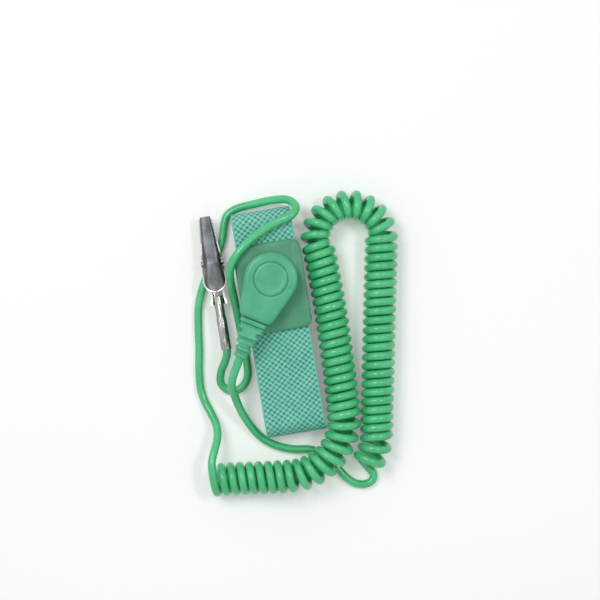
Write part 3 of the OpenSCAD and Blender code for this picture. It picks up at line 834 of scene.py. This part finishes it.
def make_boot():
    turn = round_turn(BOOT_SIDES)
    low, high = HEAD_Z - WIRE_Z, HEAD_Z + BOOT_H - WIRE_Z
    rings = []
    for x, wide, tall, sunk in boot_profile():
        square = 0.78 if wide > BOOT_BORE + 0.3 else 1.0
        y = np.sign(np.cos(turn)) * np.abs(np.cos(turn)) ** square * wide
        z = np.sign(np.sin(turn)) * np.abs(np.sin(turn)) ** square * tall
        flat = np.clip(z, max(-tall, low) + sunk, min(tall, high) - sunk)
        rings.append(at_head(np.column_stack([np.full(BOOT_SIDES, x), y, WIRE_Z + flat])))
    add_mesh("ribbed_boot", *loft(rings), head_paint, "snap_head", "head", ("strain_relief",), sharp=45)


make_boot()


# Clip: bent sheet jaws, barrel, pin and spring
# Points across the sheet, and thickness of its lips
SHEET_COLUMNS = 29
LIP_RISE = 0.3


def at_clip(points):
    """Points with x from the pivot towards the tip of the jaws, put in the shared frame."""
    x, y, z = np.asarray(points, float).T
    return np.column_stack([CLIP_X - y, CLIP_Y + x, PIVOT_Z + z])


def bent_sheet(name, stations, up, arch, *facts):
    """A channel of bent sheet with turned out lips that carry a painted highlight. A station is place, half
    width, edge, ridge and lip.
    """
    turn = np.radians(np.linspace(-90, 90, SHEET_COLUMNS))
    s, c = np.sin(turn), np.abs(np.cos(turn))
    place, half = np.array(stations).T[:2]
    rings = []
    for (x, w, edge, ridge, lip), lean in zip(stations, np.gradient(half, place)):
        out = lip / math.hypot(lean, 1)
        rows = []
        for wide, top, height in (
                (w, ridge, LIP_RISE * up), (max(0.04, w - SHEET_T), ridge - up * SHEET_T, 0.0)):
            y = np.sign(s) * np.abs(s) ** arch * wide
            z = edge + (top - edge) * c**arch
            row = np.column_stack([np.full(SHEET_COLUMNS, x), y, z])
            for end, near, side in ((0, 1, -1), (-1, -2, 1)):
                row[end] = (x - lean * out, side * (w + out), edge + height)
                row[near] = (x, side * wide, edge + height)
            rows.append(row)
        rings.append(np.vstack([rows[0], rows[1][::-1]]))
    points, faces = loft(rings)
    sheet = add_mesh(name, at_clip(points), faces, *facts, sharp=40)
    lips = np.array([0, 1, SHEET_COLUMNS - 2, SHEET_COLUMNS - 1])
    # Painted highlight on the lips, strongest from 6 mm behind the pivot backwards.
    lip_highlight = np.zeros((len(rings), len(rings[0])), np.float32)
    lip_highlight[:, [*lips, *(SHEET_COLUMNS + lips)]] = np.interp(place, [-6, -3], [0.95, 0.65])[:, None]
    sheet.data.attributes.new("lip_highlight", "FLOAT", "POINT").data.foreach_set("value", lip_highlight.ravel())


# Teeth along the front half of both jaws
TEETH = 7
TOOTH_L = JAW_L / 2 / TEETH
TOOTH_H = 0.38


def bite_places():
    """Stations from the tip of a jaw to its last tooth, two for each tooth."""
    return [JAW_L, JAW_L - 0.3, *(JAW_L - SHEET_T - k * TOOTH_L / 2 for k in range(2 * TEETH + 1))]


def notch(x):
    """Depth of the notches along the biting edge."""
    at = (JAW_L - SHEET_T - x) / TOOTH_L
    if at < 0 or at > TEETH:
        return 0.0
    return TOOTH_H * (1 - abs((at % 1) * 2 - 1))


# Where the lever's round end begins, and the height of the upper jaw's tip
LEVER_ROUND = LEVER_L - LEVER_W / 2
TIP_RIDGE = 1.3


def make_upper_jaw():
    rise = math.tan(LEVER_SLOPE)
    roof = (SPRING_R + SPRING_WIRE / 2 + 0.1) / math.cos(LEVER_SLOPE) + SHEET_T / math.cos(LEVER_SLOPE)
    front = bite_places()
    back = np.linspace(front[-1], -LEVER_ROUND, 26)[1:]
    tip = np.radians([12, 24, 36, 48, 60, 70, 78, 84, 88])
    end = [-LEVER_ROUND - LEVER_W / 2 * math.sin(a) for a in tip]
    edges = [
        (-LEVER_L, roof + rise * LEVER_L - 0.8), (1 - LEVER_L, roof + rise * (LEVER_L - 1) - 0.9),
        (-3.4, 0.5), (-1.5, -1.2), (1.5, -1.2), (3.0, 0.1), (JAW_L, 0.1)]
    lips = [(-LEVER_L, 0.45), (-6, 0.42), (2, 0.4), (JAW_L, 0.34)]
    stations = []
    for x in [*front, *back, *end]:
        if x >= 0:
            w = JAW_W / 2 + (TIP_W - JAW_W) / 2 * x / JAW_L
            ridge = roof + (TIP_RIDGE - roof) * x / JAW_L
        else:
            w = JAW_W / 2 + (LEVER_W - JAW_W) / 2 * min(1, x / -LEVER_ROUND)
            ridge = roof - rise * x
        if x < -LEVER_ROUND:
            w = max(0.1, math.sqrt(max(0, (LEVER_W / 2) ** 2 - (x + LEVER_ROUND) ** 2)))
        edge = np.interp(x, *zip(*edges))
        stations.append((x, w, edge + notch(x), ridge, np.interp(x, *zip(*lips))))
    bent_sheet("jaw_top", stations, 1, 0.6, nickel_paint, "clip_upper", "nickel", ("upper_jaw",))


def make_lower_jaw():
    floor = -(SPRING_R + SPRING_WIRE / 2 + 0.05) - SHEET_T
    front = bite_places()
    back = np.linspace(front[-1], -JAW_TAIL_L, 37)[1:]
    tail = -JAW_TAIL_L
    widths = [(tail, 2.6), (tail + 0.6, 2.6), (-BARREL_START, 2.25), (0, 2.25), (JAW_L, TIP_W / 2)]
    ridges = [(tail, floor), (JAW_L - 4, floor), (JAW_L, -1.1)]
    edges = [(tail, 0.0), (-12, -0.25), (-2.8, -0.3), (-1.5, 1.1), (1.5, 1.1), (2.8, 0), (JAW_L, 0)]
    stations = []
    for x in [*front, *back]:
        w, ridge, edge = (np.interp(x, *zip(*table)) for table in (widths, ridges, edges))
        stations.append((x, w, edge - notch(x), ridge, 0.1))
    bent_sheet("jaw_bottom", stations, -1, 0.5, bright_paint, "wristband", "nickel", ("lower_jaw",))


make_upper_jaw()
make_lower_jaw()

BARREL_SIDES = 120
# The crimp's middle, and its points as way from there and depth
CRIMP_X = 25.0
CRIMP = [(-0.7, 0.0), (-0.3, 0.05), (0.0, 0.07), (0.3, 0.05), (0.7, 0.0)]
# Depth, angle and half width in radians of the seam along the barrel
FOLD_DEPTH = 0.14
FOLD_AT = 0.4 * math.pi
FOLD_HALF = 0.08


def make_barrel():
    """The cord barrel, rolled from sheet with a seam along its top, a step and a crimp."""
    neck, r, bore = BARREL_D / 2 - 0.15, BARREL_D / 2, JACKET_R + 0.05
    step = BARREL_START + NECK_L
    profile = [
        (BARREL_START + 0.15, neck - 0.35), (BARREL_START, neck - 0.15), (BARREL_START + 0.12, neck),
        (step - 0.25, neck), (step - 0.08, r - 0.04), (step + 0.1, r)]
    profile += [(CRIMP_X + way, r - deep) for way, deep in CRIMP]
    profile += [
        (REACH_L - 0.18, r), (REACH_L - 0.04, r - 0.1), (REACH_L, r - 0.2), (REACH_L - 0.1, bore),
        (REACH_L - 4, bore)]
    turn = round_turn(BARREL_SIDES)
    fold = FOLD_DEPTH * np.exp(-(((turn - FOLD_AT) / FOLD_HALF) ** 2))
    rings = []
    for x, radius in profile:
        cut = np.where(radius > bore + 0.1, radius - fold, radius)
        y, z = cut * np.cos(turn), BARREL_Z + cut * np.sin(turn)
        rings.append(at_clip(np.column_stack([np.full(BARREL_SIDES, -x), y, z])))
    add_mesh("cord_barrel", *loft(rings), bright_paint, "wristband", "nickel", ("clip_barrel",), sharp=50)


make_barrel()
softened("jaw_pin", "pivot_pin", 0.16, bright_paint, "wristband")

# Turns of the spring with its legs in line, and points along a leg
SPRING_TURNS = 2.5
SPRING_LEG = (2, 3.5, 5)


def make_spring():
    """The torsion spring round the pin, one leg on each jaw."""
    path = []
    for j in np.linspace(0, SPRING_TURNS - LEVER_SLOPE / TURN, 60):
        a = math.radians(270) + TURN * j
        path.append((SPRING_R * math.cos(a), SPRING_PITCH * (j - SPRING_TURNS / 2), SPRING_R * math.sin(a)))
    first, last = np.array(path[0]), np.array(path[-1])
    slope = np.array([-math.cos(LEVER_SLOPE), 0, math.sin(LEVER_SLOPE)])
    lower = [first - [d, 0, 0] for d in reversed(SPRING_LEG)]
    upper = [last + d * slope for d in SPRING_LEG]
    points, faces = loft(tube_rings(np.array(lower + path + upper), SPRING_WIRE / 2, 10))
    spring = add_mesh("spring_wire", at_clip(points), faces, steel_paint, None, "steel", ("jaw_spring",))
    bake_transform(spring)


make_spring()


# Inner pieces that stay as they come from the CAD frame
for node, paint in (
        ("contact_plate", steel_paint), ("stud_rivet", steel_paint), ("snap_stud", steel_paint),
        ("socket_spring", steel_paint), ("snap_socket", steel_paint), ("solder_tab", steel_paint),
        ("resistor_leads", steel_paint), ("safety_resistor", resistor_paint), ("wire_tail", copper_paint),
        ("barrel_wire", copper_paint)):
    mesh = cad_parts[node].data
    mesh.materials.clear()
    mesh.materials.append(paint)


# Stage: a pale floor, soft light from above and a white surrounding. Its sizes are in metres
FLOOR_HALF = 3.0
FLOOR_GLOW = 0.2
WORLD_LIGHT = 0.45


def seen_level(tree, unseen, seen):
    """One strength for what the camera sees, also in a reflection, and another for what only lights."""
    light = tree.nodes.new("ShaderNodeLightPath")
    total = light.outputs["Is Camera Ray"]
    for name in ("Is Glossy Ray", "Is Transmission Ray"):
        both = tree.nodes.new("ShaderNodeMath")
        both.operation = "MAXIMUM"
        tree.links.new(total, both.inputs[0])
        tree.links.new(light.outputs[name], both.inputs[1])
        total = both.outputs[0]
    level = tree.nodes.new("ShaderNodeMapRange")
    level.inputs["To Min"].default_value = unseen
    level.inputs["To Max"].default_value = seen
    tree.links.new(total, level.inputs["Value"])
    return level.outputs["Result"]


def make_stage():
    mesh = bpy.data.meshes.new("floor")
    corners = [(x * FLOOR_HALF, y * FLOOR_HALF, 0) for x, y in ((-1, -1), (1, -1), (1, 1), (-1, 1))]
    mesh.from_pydata(corners, [], [(0, 1, 2, 3)])
    p = Paint("pale_floor", 0.9, Emission_Color=WHITE)
    p.set("Base Color", p.ramp(p.noise(3, 2), (0.4, (0.9, 0.9, 0.9, 1)), (0.6, (0.92, 0.92, 0.92, 1))))
    p.set("Emission Strength", seen_level(p.tree, 0.0, FLOOR_GLOW))
    mesh.materials.append(p.material)
    add_object("floor", mesh)
    world = bpy.data.worlds.new("surrounding")
    bpy.context.scene.world = world
    world.use_nodes = True
    back = world.node_tree.nodes["Background"]
    back.inputs["Color"].default_value = WHITE
    world.node_tree.links.new(seen_level(world.node_tree, WORLD_LIGHT, 1.0), back.inputs["Strength"])


def soft_box(name, place, aim, size, power):
    data = bpy.data.lights.new(name, "AREA")
    data.shape = "RECTANGLE"
    data.size, data.size_y = size
    data.energy = power
    back = unit(np.array(place) - np.array(aim))
    right = unit(np.cross([0.0, 1.0, 0.02], back))
    add_object(name, data).matrix_world = placed(right, np.cross(back, right), back, place)


make_stage()
soft_box("key_light", (-0.22, 0.28, 0.62), (0.005, 0, 0), (0.28, 0.28), 1.7)
soft_box("side_light", (0.3, 0.06, 0.55), (0.01, 0, 0), (0.07, 0.16), 0.6)

bpy.context.scene.view_settings.view_transform = "Standard"
